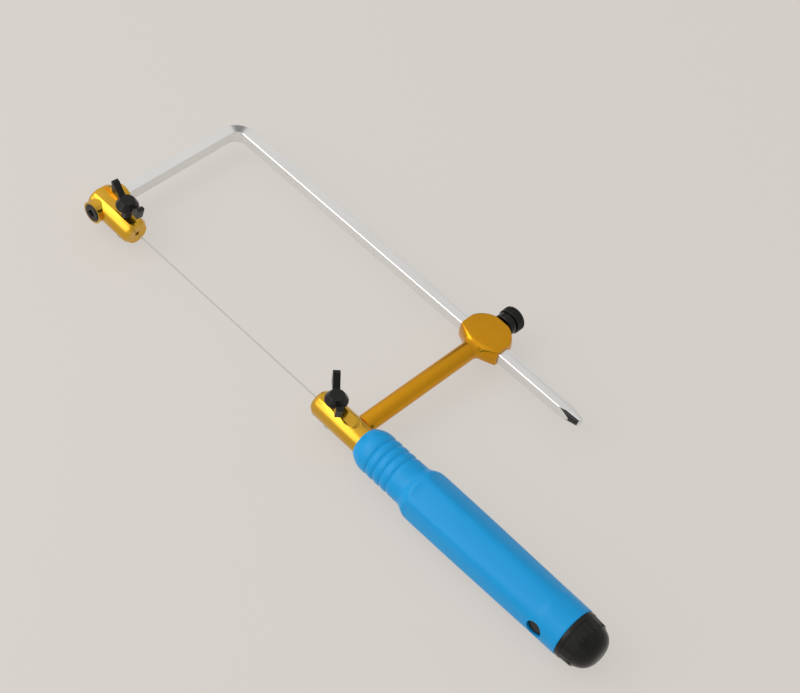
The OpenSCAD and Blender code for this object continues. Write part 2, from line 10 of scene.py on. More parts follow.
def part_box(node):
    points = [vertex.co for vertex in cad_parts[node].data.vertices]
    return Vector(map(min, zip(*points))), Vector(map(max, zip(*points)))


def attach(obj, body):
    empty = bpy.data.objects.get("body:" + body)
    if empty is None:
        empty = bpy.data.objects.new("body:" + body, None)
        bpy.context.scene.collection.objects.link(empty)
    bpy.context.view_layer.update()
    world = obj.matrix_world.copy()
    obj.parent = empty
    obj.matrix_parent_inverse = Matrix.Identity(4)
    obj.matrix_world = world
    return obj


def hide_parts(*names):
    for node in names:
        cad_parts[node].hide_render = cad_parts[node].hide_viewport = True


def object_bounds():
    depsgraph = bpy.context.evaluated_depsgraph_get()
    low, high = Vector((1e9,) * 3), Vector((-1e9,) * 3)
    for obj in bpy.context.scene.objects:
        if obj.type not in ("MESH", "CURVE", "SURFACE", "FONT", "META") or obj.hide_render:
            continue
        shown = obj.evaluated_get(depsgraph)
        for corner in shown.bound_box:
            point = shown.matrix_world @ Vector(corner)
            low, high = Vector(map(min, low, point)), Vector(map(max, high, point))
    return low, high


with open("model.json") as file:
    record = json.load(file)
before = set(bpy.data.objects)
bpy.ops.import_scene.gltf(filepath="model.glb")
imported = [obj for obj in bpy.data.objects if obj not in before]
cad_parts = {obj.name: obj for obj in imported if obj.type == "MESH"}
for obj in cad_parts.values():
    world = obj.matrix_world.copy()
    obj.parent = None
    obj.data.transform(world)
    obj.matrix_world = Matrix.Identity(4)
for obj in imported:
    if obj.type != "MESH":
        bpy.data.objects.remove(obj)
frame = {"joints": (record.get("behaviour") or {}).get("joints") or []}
cad_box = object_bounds()

# Studio: the saw lies on a plain pale table in a bright tent, with two soft lights low in front
# and a camera where the photograph was taken from. None of it belongs to the saw.
MM = 0.001
TABLE_COLOUR = (0.760, 0.722, 0.676)
BACKDROP_COLOUR = (0.658, 0.623, 0.584)
PLAIN_SHARE = 0.8
TABLE_HALF = 3.0
TENT_DIM = 0.56
TENT_GLOW = 0.52
GLOW_FALLOFF = 3.0
BRIGHT_SIDE = Vector((-0.58, -0.56, 0.59)).normalized()
# Two dark gaps in the tent: side, cosines at the rim and at the core, and depth.
CAMERA_GAP = (Vector((0.47, -0.48, 0.74)).normalized(), 0.84, 0.97, 0.32)
REAR_GAP = (Vector((-0.61, 0.77, 0.15)).normalized(), 0.90, 0.97, 0.80)
LIGHT_DISTANCE = 0.6
LIGHT_COLOUR = (1.0, 0.985, 0.96)
SAW_MIDDLE = Vector((-120.0, 30.0, 0.0)) * MM
CAMERA_EYE = Vector((158.6, -358.4, 593.6)) * MM
CAMERA_AIM = Vector((-122.6, 41.3, 0.0)) * MM
CAMERA_ROLL = math.radians(12.94)
CAMERA_LENS = 92.07
CAMERA_SENSOR = 36.0

scene = bpy.context.scene
scene.view_settings.view_transform = "Standard"


class Wire:
    """One output of a node. Arithmetic on wires adds Math nodes to their tree."""

    def __init__(self, tree, socket=None):
        self.tree = tree
        self.socket = socket

    def node(self, kind, settings=None, sockets=None, output=0):
        """Adds a node. Its settings are set first, then its sockets are given values or links."""
        made = self.tree.nodes.new(kind)
        for name, value in (settings or {}).items():
            setattr(made, name, value)
        for name, value in (sockets or {}).items():
            if isinstance(value, Wire):
                self.tree.links.new(value.socket, made.inputs[name])
            else:
                made.inputs[name].default_value = value
        return Wire(self.tree, made.outputs[output] if made.outputs else None)

    def math(self, operation, first, second=0.0):
        return self.node("ShaderNodeMath", {"operation": operation}, {0: first, 1: second})

    def __add__(self, other):
        return self.math("ADD", self, other)

    def __sub__(self, other):
        return self.math("SUBTRACT", self, other)

    def __rsub__(self, other):
        return self.math("SUBTRACT", other, self)

    def __mul__(self, other):
        return self.math("MULTIPLY", self, other)

    def __pow__(self, other):
        return self.math("POWER", self, other)

    __radd__ = __add__
    __rmul__ = __mul__


def shader_start(owner):
    """Empties the node tree of a world or material and returns a wire to add nodes from."""
    owner.use_nodes = True
    owner.node_tree.nodes.clear()
    return Wire(owner.node_tree)


def softbox(name, direction, size, radiance):
    """Square area light of a given brightness that faces the saw from one direction."""
    lamp = bpy.data.lights.new(name, "AREA")
    lamp.shape = "SQUARE"
    lamp.size = size
    lamp.color = LIGHT_COLOUR
    lamp.energy = radiance * math.pi * size ** 2
    light = bpy.data.objects.new(name, lamp)
    toward = Vector(direction).normalized()
    light.matrix_world = (
        Matrix.Translation(SAW_MIDDLE + toward * LIGHT_DISTANCE)
        @ (-toward).to_track_quat("-Z", "Y").to_matrix().to_4x4()
    )
    scene.collection.objects.link(light)


camera = bpy.data.objects.new("camera", bpy.data.cameras.new("camera"))
camera.data.lens = CAMERA_LENS
camera.data.sensor_width = CAMERA_SENSOR
aiming = (CAMERA_AIM - CAMERA_EYE).to_track_quat("-Z", "Y").to_matrix().to_4x4()
camera.matrix_world = Matrix.Translation(CAMERA_EYE) @ aiming @ Matrix.Rotation(CAMERA_ROLL, 4, "Z")
scene.collection.objects.link(camera)
scene.camera = camera

softbox("front_softbox", direction=(-0.40, -0.76, 0.52), size=0.47, radiance=1.3)
softbox("side_softbox", direction=(-0.56, -0.39, 0.73), size=0.30, radiance=1.7)

world = bpy.data.worlds.new("tent")
scene.world = world
start = shader_start(world)
direction = start.node("ShaderNodeTexCoord", output="Generated")


def facing(side):
    """How far a ray points to one side, from -1 to 1."""
    return direction.node(
        "ShaderNodeVectorMath", {"operation": "DOT_PRODUCT"}, {0: direction, 1: side}, output="Value"
    )


strength = TENT_DIM + TENT_GLOW * (0.5 + 0.5 * facing(BRIGHT_SIDE)) ** GLOW_FALLOFF
for side, rim, core, depth in (CAMERA_GAP, REAR_GAP):
    gap = start.node("ShaderNodeMapRange", {"interpolation_type": "SMOOTHSTEP"}, {
        "Value": facing(side), "From Min": rim, "From Max": core,
    })
    strength = strength * (1.0 - depth * gap)
tent = start.node("ShaderNodeBackground", None, {"Color": (*LIGHT_COLOUR, 1.0), "Strength": strength})
backdrop = start.node("ShaderNodeBackground", None, {"Color": (*BACKDROP_COLOUR, 1.0), "Strength": 1.0})
seen = start.node("ShaderNodeLightPath", output="Is Camera Ray")
shown = start.node("ShaderNodeMixShader", None, {0: seen, 1: tent, 2: backdrop})
start.node("ShaderNodeOutputWorld", None, {"Surface": shown})

table_top = bpy.data.materials.new("table_top")
start = shader_start(table_top)
lit = start.node("ShaderNodeBsdfDiffuse", None, {"Color": (*TABLE_COLOUR, 1.0)})
plain = start.node("ShaderNodeEmission", None, {"Color": (*BACKDROP_COLOUR, 1.0), "Strength": 1.0})
seen = start.node("ShaderNodeLightPath", output="Is Camera Ray")
mirrored = start.node("ShaderNodeLightPath", output="Is Glossy Ray")
shown = start.node("ShaderNodeMixShader", None, {0: PLAIN_SHARE * (seen + mirrored), 1: lit, 2: plain})
start.node("ShaderNodeOutputMaterial", None, {"Surface": shown})
table_z = cad_box[0].z
table = bpy.data.objects.new("table", bpy.data.meshes.new("table"))
corner_signs = ((-1, -1), (1, -1), (1, 1), (-1, 1))
corners = [(sx * TABLE_HALF, sy * TABLE_HALF, table_z) for sx, sy in corner_signs]
table.data.from_pydata(corners, [], [(0, 1, 2, 3)])
table.data.materials.append(table_top)
scene.collection.objects.link(table)

# Frame bar: one length of plated square steel bar, bent once to a right angle. Its edges are broken,
# and its free end is turned to a blunt taper so that it finds the lock head. The leg sits in the
# front clamp.
BAR_EDGE = 0.24
BEND_RADIUS = 6.5
BEND_STEPS = 24
BEND_PINCH = 0.20
TAPER_LENGTH = 9.2
TAPER_START = 3.47
TAPER_END = 1.7
TIP_CHAMFER = 0.3
# Offset of the plane that bounds the painted dark reflection on the front half of the taper.
PAINTED_DARK_SHIFT = 0.9
PLATING_SKIN = 0.03
TURN_STEPS = 128
CUT = 1.0


def size_of(node):
    """Lowest and highest corner of a node, in millimetres."""
    low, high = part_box(node)
    return low / MM, high / MM


def new_piece(name, points, faces):
    """Object with a mesh of its own, in millimetres until it is settled."""
    mesh = bpy.data.meshes.new(name)
    mesh.from_pydata(points, [], faces)
    piece = bpy.data.objects.new(name, mesh)
    scene.collection.objects.link(piece)
    return piece


def skin(name, rings):
    """Closed surface over rings of equally many points, with a flat face at each end."""
    count = len(rings[0])
    faces = []
    for a in range(len(rings) - 1):
        here = a * count
        there = here + count
        for i in range(count):
            j = (i + 1) % count
            faces.append((here + i, here + j, there + j, there + i))
    faces.append(tuple(range(count - 1, -1, -1)))
    faces.append(tuple(range((len(rings) - 1) * count, len(rings) * count)))
    return new_piece(name, [point for ring in rings for point in ring], faces)


def on_axis(axis, centre, along, radius, angle):
    """Point at a distance along an axis through centre, out at a radius and turned to an angle."""
    u = radius * math.cos(angle)
    v = radius * math.sin(angle)
    return Vector(centre) + Vector({"X": (along, u, v), "Y": (v, along, u), "Z": (u, v, along)}[axis])


def turned(name, axis, centre, outline, steps=TURN_STEPS):
    """Body turned about an axis from an outline of (distance along, radius) pairs."""
    angles = [math.tau * i / steps for i in range(steps)]
    return skin(name, [[on_axis(axis, centre, d, r, a) for a in angles] for d, r in outline])


def arc(centre, radius, begin, end, steps=8):
    """Outline points on a circle, from one angle to another in degrees."""
    angles = [math.radians(begin + (end - begin) * i / steps) for i in range(steps + 1)]
    return [(centre[0] + radius * math.cos(a), centre[1] + radius * math.sin(a)) for a in angles]


def block(name, low, high):
    """Plain box between two corners."""
    ring = [(0, 0), (1, 0), (1, 1), (0, 1)]
    corner = (low, high)
    return skin(name, [[(corner[i][0], corner[j][1], corner[k][2]) for i, j in ring] for k in (0, 1)])


def bake(piece):
    """Makes what the modifiers show the piece's own mesh."""
    shown_piece = piece.evaluated_get(bpy.context.evaluated_depsgraph_get())
    mesh = bpy.data.meshes.new_from_object(shown_piece)
    piece.modifiers.clear()
    piece.data = mesh


def tidy_mesh(piece, reach=0.002):
    """Merges doubles and turns all faces outwards."""
    work = bmesh.new()
    work.from_mesh(piece.data)
    bmesh.ops.remove_doubles(work, verts=work.verts, dist=reach)
    bmesh.ops.recalc_face_normals(work, faces=work.faces)
    work.to_mesh(piece.data)
    work.free()


def carve(piece, cutter, operation="DIFFERENCE"):
    """Cuts, joins or trims a piece with another, which is used up."""
    tidy_mesh(piece)
    tidy_mesh(cutter)
    modifier = piece.modifiers.new("carve", "BOOLEAN")
    modifier.operation = operation
    modifier.solver = "EXACT"
    modifier.object = cutter
    bake(piece)
    bpy.data.objects.remove(cutter)


def ease_edges(piece, width, segments=2, sharper_than=30):
    """Rounds the edges that are sharper than an angle."""
    tidy_mesh(piece)
    modifier = piece.modifiers.new("ease", "BEVEL")
    modifier.width = width
    modifier.segments = segments
    modifier.limit_method = "ANGLE"
    modifier.angle_limit = math.radians(sharper_than)
    bake(piece)


def settle(piece, material, body, slot, *nodes, crease=30):
    """Puts a finished piece into metres, gives it its finish and fixes it to its body."""
    tidy_mesh(piece)
    mesh = piece.data
    mesh.transform(Matrix.Scale(MM, 4))
    mesh.shade_smooth()
    mesh.set_sharp_from_angle(angle=math.radians(crease))
    mesh.materials.clear()
    mesh.materials.append(material)
    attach(piece, body)
    if nodes:
        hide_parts(*nodes)


def finish(name, recipe):
    """Material whose recipe is given the object's own coordinates and returns the shader's sockets."""
    material = bpy.data.materials.new(name)
    begin = shader_start(material)
    where = begin.node("ShaderNodeTexCoord", output="Object")
    shader = begin.node("ShaderNodeBsdfPrincipled", None, recipe(where))
    begin.node("ShaderNodeOutputMaterial", None, {"Surface": shader})
    return material


def stretched(where, scale):
    """Coordinates scaled by a factor on each axis."""
    return where.node("ShaderNodeMapping", None, {"Vector": where, "Scale": scale})


def noise(where, scale=1.0, detail=2.0):
    """Cloudy value around 0.5, at a scale of clouds to the metre."""
    return where.node("ShaderNodeTexNoise", None, {"Vector": where, "Scale": scale, "Detail": detail})


def bump(height, depth):
    """Normal for a relief of a depth in millimetres."""
    return height.node("ShaderNodeBump", None, {"Strength": 1.0, "Distance": depth * MM, "Height": height})


def tinted(share, first, second):
    """Colour that goes from first to second as share goes from 0 to 1."""
    ends = [colour if isinstance(colour, Wire) else (*colour, 1.0) for colour in (first, second)]
    # A Mix node keeps its colours at sockets 6 and 7, and the mixed colour at output 2.
    colours = {0: share, 6: ends[0], 7: ends[1]}
    return share.node("ShaderNodeMix", {"data_type": "RGBA"}, colours, output=2)


def coordinate(where, letter):
    """One of the three coordinates, in metres."""
    return where.node("ShaderNodeSeparateXYZ", None, {0: where}, output=letter)


bar_low, bar_high = size_of("frame_bar")
bar_half = (bar_high.z - bar_low.z) / 2
leg_x = bar_low.x + bar_half
bar_y = bar_high.y - bar_half


def bright_bar(where):
    """Bright plating with faint drawing lines; on the front half of the turned taper, bare rougher steel
    with a painted dark reflection.
    """
    lines = noise(stretched(where, (60.0, 60.0, 2600.0)), detail=3.0)
    cloud = noise(where, 55.0)
    place = coordinate(where, "X")
    across = coordinate(where, "Y") - bar_y * MM
    height = coordinate(where, "Z")
    spread = across.math("MAXIMUM", across.math("ABSOLUTE", across), height.math("ABSOLUTE", height))
    inside = spread.math("LESS_THAN", spread, (bar_half - PLATING_SKIN) * MM)
    on_taper = place.math("GREATER_THAN", place, (bar_high.x - TAPER_LENGTH) * MM)
    before_end = place.math("LESS_THAN", place, (bar_high.x - TIP_CHAMFER) * MM)
    # Painted dark reflection: only the front and lower half of the taper is darkened and made rougher, the
    # rest keeps its plating.
    front_half = across.math("LESS_THAN", across + height, PAINTED_DARK_SHIFT * MM)
    bare_and_painted_dark = inside * on_taper * before_end * front_half
    plating = tinted(cloud, (0.80, 0.80, 0.80), (0.86, 0.86, 0.855))
    return {
        "Base Color": tinted(bare_and_painted_dark, plating, (0.055, 0.050, 0.050)),
        "Metallic": 0.85,
        "Roughness": 0.09 + 0.07 * lines + 0.20 * bare_and_painted_dark,
        "Normal": bump(lines, 0.001),
    }


def bar_section(half, edge):
    """Square with its four corners cut off."""
    flat = half - edge
    return [
        (half, -flat), (half, flat), (flat, half), (-flat, half),
        (-half, flat), (-half, -flat), (-flat, -half), (flat, -half),
    ]


bar_finish = finish("bright_bar", bright_bar)
section = bar_section(bar_half, BAR_EDGE)
bend_centre = Vector((leg_x + BEND_RADIUS, bar_y - BEND_RADIUS, 0.0))
stations = [(Vector((leg_x, bar_low.y, 0.0)), Vector((-1.0, 0.0, 0.0)), 0.0)]
for i in range(BEND_STEPS + 1):
    a = math.radians(180 - 90 * i / BEND_STEPS)
    outward = Vector((math.cos(a), math.sin(a), 0.0))
    pinch = BEND_PINCH / bar_half * math.sin(math.pi * i / BEND_STEPS)
    stations.append((bend_centre + BEND_RADIUS * outward, outward, pinch))
stations.append((Vector((bar_high.x, bar_y, 0.0)), Vector((0.0, 1.0, 0.0)), 0.0))
rings = [
    [at + u * outward + Vector((0.0, 0.0, v * (1.0 - pinch * u))) for u, v in section]
    for at, outward, pinch in stations
]
polished_bar = skin("polished_bar", rings)
all_round = bar_high.y - bar_low.y + CUT
taper_x = bar_high.x - TAPER_LENGTH
taper = turned("taper", "X", (0.0, bar_y, 0.0), [
    (bar_low.x - CUT, all_round),
    (taper_x, all_round),
    (taper_x, TAPER_START),
    (bar_high.x - TIP_CHAMFER, TAPER_END),
    (bar_high.x, TAPER_END - TIP_CHAMFER),
])
carve(polished_bar, taper, "INTERSECT")
settle(polished_bar, bar_finish, "frame", "bar_steel", "frame_bar", crease=25)

# Front clamp: turned from aluminium and anodised a yellow gold, a round body for the blade with a fat
# cross socket for the bar's leg and a boss for its screw. A flat is milled along its top, and bores
# take screw, anvil and blade.
NOSE_TAPER = 2.0
NOSE_STEP = 1.1
FLAT_HEIGHT = 5.0
MILL_RADIUS = 2.35
STUD_BORE = 2.05
BLADE_BORE = 0.95
BLADE_MOUTH = 1.2
SOCKET_START = 1.6
SOCKET_REACH = 5.5
SOCKET_ROUND = 2.0
END_ROUND = 2.0
BOSS_RADIUS = 4.6
COLLAR_RADIUS = 4.7
LEG_ROOM = 0.02
ANVIL_RADIUS = 3.52
ANVIL_SINK = 1.5
ANVIL_PIN = 1.8
ANVIL_OVERLAP = 0.1
BORE_STEPS = 64
MOUTH_STEPS = 48
HEAD_RADIUS = 3.8
HEAD_SINK = 2.0
GOLD_EDGE = 0.10
YELLOW_DYE = ((0.66, 0.365, 0.016), (0.76, 0.425, 0.026))
YELLOW_SEAL = 0.4


def gold_anodised(drawn_axis, dye, sealed):
    """Dyed and sealed aluminium with faint streaks along the axis that the stock was drawn on."""
    scale = tuple(25.0 if letter == drawn_axis else 1400.0 for letter in "XYZ")

    def recipe(where):
        streaks = noise(stretched(where, scale))
        cloud = noise(where, 160.0, detail=3.0)
        return {
            "Base Color": tinted(cloud, *dye),
            "Metallic": 1.0,
            "Roughness": 0.15 + 0.10 * streaks + 0.06 * cloud,
            "Coat Weight": sealed,
            "Coat Roughness": 0.12,
            "Normal": bump(streaks, 0.0006),
        }

    return recipe


front_low, front_high = size_of("front_clamp")
rear_low, rear_high = size_of("rear_clamp")
clamp_r = -rear_low.z
socket_r = leg_x - front_low.x
joint_at = {joint["name"]: Vector(joint.get("pos_m", (0, 0, 0))) / MM for joint in frame["joints"]}
front_screw_x = joint_at["front_screw_turn"].x
rear_screw_x = joint_at["rear_screw_turn"].x
yellow_gold = finish("yellow_gold", gold_anodised("X", YELLOW_DYE, YELLOW_SEAL))


def clamp_body(name, nose_x, end):
    """Round clamp from its coned nose to the outline of its end."""
    way = math.copysign(1.0, end[-1][0] - nose_x)
    outline = [(nose_x, clamp_r - NOSE_STEP), (nose_x + way * NOSE_TAPER, clamp_r), *end]
    return turned(name, "X", (0.0, 0.0, 0.0), outline)


def drill(piece, axis, centre, begin, end, radius):
    """Round hole along an axis through centre, from one distance to another."""
    carve(piece, turned("drill", axis, centre, [(begin, radius), (end, radius)], BORE_STEPS))


def bore_clamp(piece, nose_x, screw_x, depth_x):
    """Bores for the clamp screw, the anvil's head and the blade with its countersunk mouth."""
    way = math.copysign(1.0, depth_x - nose_x)
    drill(piece, "Z", (screw_x, 0.0, 0.0), 0.0, clamp_r + CUT, STUD_BORE)
    drill(piece, "Z", (screw_x, 0.0, 0.0), -clamp_r - CUT, ANVIL_OVERLAP, ANVIL_PIN + LEG_ROOM)
    drill(piece, "Z", (screw_x, 0.0, 0.0), -clamp_r - CUT, ANVIL_SINK - clamp_r, ANVIL_RADIUS)
    sink = BLADE_MOUTH - BLADE_BORE
    mouth = [(nose_x - way * CUT, BLADE_MOUTH + CUT), (nose_x + way * sink, BLADE_BORE)]
    mouth.append((depth_x, BLADE_BORE))
    carve(piece, turned("blade_way", "X", (0.0, 0.0, 0.0), mouth, MOUTH_STEPS))


round_end = arc((leg_x - clamp_r + END_ROUND, clamp_r - END_ROUND), END_ROUND, 90, 180, steps=10)
front_head = clamp_body("front_head", front_high.x, round_end)
shoulder_r = socket_r - SOCKET_ROUND
shoulder_y = SOCKET_REACH - SOCKET_ROUND
socket_outline = [(front_low.y, BOSS_RADIUS), (SOCKET_START, BOSS_RADIUS), (SOCKET_START, socket_r)]
socket_outline += arc((shoulder_y, shoulder_r), SOCKET_ROUND, 90, 0, steps=10)
socket_outline += [(SOCKET_REACH, COLLAR_RADIUS), (front_high.y, COLLAR_RADIUS)]
carve(front_head, turned("socket", "Y", (leg_x, 0.0, 0.0), socket_outline), "UNION")
carve(front_head, block(
    "mill",
    (front_low.x - CUT, -MILL_RADIUS, FLAT_HEIGHT),
    (front_high.x + CUT, MILL_RADIUS, socket_r + CUT),
))
leg_room = bar_half + LEG_ROOM
carve(front_head, block(
    "leg_hole",
    (leg_x - leg_room, bar_low.y, -leg_room),
    (leg_x + leg_room, front_high.y + CUT, leg_room),
))
head_foot = front_low.y + HEAD_SINK
drill(front_head, "Y", (leg_x, 0.0, 0.0), front_low.y - CUT, head_foot, HEAD_RADIUS + LEG_ROOM)
bore_clamp(front_head, front_high.x, front_screw_x, leg_x + bar_half)
ease_edges(front_head, GOLD_EDGE)
settle(front_head, yellow_gold, "frame", "gold_anodised", "front_clamp")

# Socket screw: a black oxide cap screw that pulls the bar's leg into the front clamp. Its head lies in
# a counterbore at the end of the cross socket, with a pressed hexagon for the key.
HEX_WIDTH = 3.0
HEX_DEPTH = 1.4
HEAD_EDGE = 0.5
SHANK_RADIUS = 1.9
SCREW_EDGE = 0.07
SCREW_STEPS = 96


def black_oxide(where):
    """Blackened steel with a slightly uneven, dull skin."""
    cloud = noise(where, 700.0)
    return {
        "Base Color": tinted(cloud, (0.020, 0.019, 0.018), (0.034, 0.032, 0.030)),
        "Metallic": 0.6,
        "Roughness": 0.34 + 0.12 * cloud,
        "Normal": bump(cloud, 0.003),
    }


screw_low, screw_high = size_of("socket_screw")
head_outline = arc((screw_low.y + HEAD_EDGE, HEAD_RADIUS - HEAD_EDGE), HEAD_EDGE, 180, 90, steps=5)
head_outline += [(head_foot, HEAD_RADIUS), (head_foot, SHANK_RADIUS), (screw_high.y, SHANK_RADIUS)]
key_screw = turned("key_screw", "Y", (leg_x, 0.0, 0.0), head_outline, SCREW_STEPS)
hex_r = HEX_WIDTH / math.sqrt(3)
hexagon = [(screw_low.y - CUT, hex_r), (screw_low.y + HEX_DEPTH, hex_r)]
carve(key_screw, turned("hexagon", "Y", (leg_x, 0.0, 0.0), hexagon, steps=6))
ease_edges(key_screw, SCREW_EDGE)
oxide_finish = finish("black_oxide", black_oxide)
settle(key_screw, oxide_finish, "frame", "black_steel", "socket_screw")

# Anvil pins: turned steel pins under the blade, pressed up into each clamp from below. Only the thin
# chamfered rim of the head stands out of its counterbore.
ANVIL_CHAMFER = 0.3


def turned_steel(where):
    """Bright steel as it comes from the lathe, a little uneven in its shine."""
    cloud = noise(where, 500.0, detail=3.0)
    return {
        "Base Color": tinted(cloud, (0.36, 0.36, 0.37), (0.50, 0.50, 0.50)),
        "Metallic": 1.0,
        "Roughness": 0.22 + 0.14 * cloud,
    }


steel_finish = finish("turned_steel", turned_steel)
for node, body in (("front_anvil", "frame"), ("rear_anvil", "handle")):
    low, high = size_of(node)
    rim = (high.x - low.x) / 2
    shelf = ANVIL_SINK - clamp_r
    outline = [(low.z, rim - ANVIL_CHAMFER), (low.z + ANVIL_CHAMFER, rim), (shelf, rim)]
    outline += [(shelf, ANVIL_PIN), (high.z, ANVIL_PIN)]
    pin = turned(node + "_pin", "Z", ((low.x + high.x) / 2, 0.0, 0.0), outline, SCREW_STEPS)
    settle(pin, steel_finish, body, "screw_steel", node)

# Blade: a thin strip of bright tempered steel with a row of fine teeth along its cutting edge, nipped
# between pad and anvil in each clamp.
TOOTH_PITCH = 1.25
TOOTH_DEPTH = 0.2
TOOTH_WIDTH = 0.95
TOOTH_SINK = 0.01
TOOTH_THICKNESS = 0.98


def tempered(where):
    """Tempered steel with a grain that runs along the blade."""
    grain = noise(stretched(where, (500.0, 4000.0, 4000.0)), detail=3.0)
    return {
        "Base Color": tinted(grain, (0.54, 0.53, 0.52), (0.84, 0.83, 0.82)),
        "Metallic": 1.0,
        "Roughness": 0.26 + 0.15 * grain,
    }


def group_start(name, sockets):
    """Empty Geometry Nodes tree with named inputs, and a wire for each of them."""
    tree = bpy.data.node_groups.new(name, "GeometryNodeTree")
    tree.interface.new_socket("Geometry", in_out="INPUT", socket_type="NodeSocketGeometry")
    for label, kind in sockets:
        tree.interface.new_socket(label, in_out="INPUT", socket_type="NodeSocket" + kind)
    tree.interface.new_socket("Geometry", in_out="OUTPUT", socket_type="NodeSocketGeometry")
    given = tree.nodes.new("NodeGroupInput")
    return tree, {socket.name: Wire(tree, socket) for socket in given.outputs if socket.name}


def group_end(core, parts, material):
    """Joins repeated parts to the mesh that came in, realizes them and gives them their finish."""
    joined = core.node("GeometryNodeJoinGeometry")
    for part in (core, parts):
        core.tree.links.new(part.socket, joined.socket.node.inputs[0])
    real = core.node("GeometryNodeRealizeInstances", None, {"Geometry": joined})
    dressed = core.node("GeometryNodeSetMaterial", None, {"Geometry": real, "Material": material})
    core.node("NodeGroupOutput", None, {"Geometry": dressed})


def run_group(piece, tree, values):
    """Sets a tree's inputs by identifier on a piece and keeps the mesh that it makes."""
    modifier = piece.modifiers.new(tree.name, "NODES")
    modifier.node_group = tree
    for item in tree.interface.items_tree:
        if item.in_out == "INPUT" and item.name in values:
            modifier[item.identifier] = values[item.name]
    bake(piece)


tooth_tree, given = group_start("tooth_row", (
    ("Count", "Int"), ("Start", "Vector"), ("Pitch", "Vector"), ("Tooth Size", "Vector"),
    ("Thickness", "Float"), ("Finish", "Material"),
))
begin = given["Geometry"]
row = begin.node("GeometryNodeMeshLine", None, {
    "Count": given["Count"], "Start Location": given["Start"], "Offset": given["Pitch"],
})
# A tooth is a three-sided prism. At radius 1 its triangle is 1.5 deep and sqrt(3) wide.
tooth = begin.node("GeometryNodeMeshCylinder", None, {
    "Vertices": 3, "Radius": 1.0, "Depth": given["Thickness"],
})
teeth = begin.node("GeometryNodeInstanceOnPoints", None, {
    "Points": row, "Instance": tooth, "Rotation": (0.0, 0.0, math.radians(-90)),
    "Scale": given["Tooth Size"],
})
group_end(begin, teeth, given["Finish"])

blade_low, blade_high = size_of("blade")
tempered_finish = finish("tempered", tempered)
back_y = blade_low.y + TOOTH_DEPTH
toothed_blade = block("toothed_blade", (blade_low.x, back_y, blade_low.z), blade_high)
free_length = rear_low.x - front_high.x
tooth_count = int(free_length / TOOTH_PITCH)
run_group(toothed_blade, tooth_tree, {
    "Count": tooth_count,
    "Start": (front_high.x + TOOTH_PITCH / 2, back_y - TOOTH_DEPTH / 3 + TOOTH_SINK, 0.0),
    "Pitch": (TOOTH_PITCH, 0.0, 0.0),
    "Tooth Size": (TOOTH_DEPTH / 1.5, TOOTH_WIDTH / math.sqrt(3), 1.0),
    "Thickness": (blade_high.z - blade_low.z) * TOOTH_THICKNESS,
    "Finish": tempered_finish,
})
settle(toothed_blade, tempered_finish, "frame", "blade_steel", "blade")

# Post and lock head: one aluminium turning, anodised a deeper orange gold. The plain round post screws
# into the rear clamp. Its ball end is milled flat on top, below, at both sides and at its outer end,
# with a square way right through for the bar.
POST_RADIUS = 3.7
SPIGOT_RADIUS = 2.4
NECK_DISTANCE = 7.1
FLARE_DISTANCE = 3.2
NECK_FILLET = 4.0
LOCK_RADIUS = 10.75
FACE_CROWN = 120.0
FACE_BLEND = 0.13
FLARE_BLEND = 1.0
FLARE_BLEND_AT = -6.4
FLARE_BLEND_SPREAD = 2.4
SIDE_BLEND = 0.10
HEAD_TURNS = 288
HEAD_ROWS = 150
TINY = 1e-6
BAR_WAY = 2.62
SEAT_Y = 4.5
ORANGE_DYE = ((0.63, 0.280, 0.005), (0.73, 0.340, 0.009))
ORANGE_SEAL = 0.15

orange_gold = finish("orange_gold", gold_anodised("Y", ORANGE_DYE, ORANGE_SEAL))
post_low, post_high = size_of("slide_post")
post_x = joint_at["lock_screw_turn"].x
lock_half_x = post_high.x - post_x
flare_r = math.sqrt(LOCK_RADIUS ** 2 - FLARE_DISTANCE ** 2)
face_y = post_high.y - bar_y
flare_angle = math.degrees(math.asin(FLARE_DISTANCE / LOCK_RADIUS))
face_angle = math.degrees(math.asin(face_y / LOCK_RADIUS))
slope = math.atan2(flare_r - POST_RADIUS, NECK_DISTANCE - FLARE_DISTANCE)
neck_y = -NECK_DISTANCE - NECK_FILLET * math.tan(slope / 2)
slope_angle = math.degrees(slope)
lock_outline = arc((neck_y, POST_RADIUS + NECK_FILLET), NECK_FILLET, -90, slope_angle - 90, steps=30)
lock_outline += arc((0.0, 0.0), LOCK_RADIUS, 90 + flare_angle, 90 - face_angle, steps=60)


def head_radius(y, angles):
    """Radius of the lock head at a distance past the bar, with its flats blended into the turned form."""
    blend = FACE_BLEND + FLARE_BLEND * math.exp(-((y - FLARE_BLEND_AT) / FLARE_BLEND_SPREAD) ** 2)
    points = np.array(lock_outline)
    outer = np.full(len(angles), np.interp(y, points[:, 0], points[:, 1]))
    upward = np.abs(np.cos(angles)) + TINY
    sideways = np.abs(np.sin(angles)) + TINY
    across = np.minimum(outer, post_high.z / upward) * sideways
    flats = (post_high.z - (across ** 2 + y ** 2) / (2.0 * FACE_CROWN)) / upward
    for limit, softness in ((flats, blend), (lock_half_x / sideways, SIDE_BLEND)):
        outer = -softness * np.logaddexp(-outer / softness, -limit / softness)
    return outer


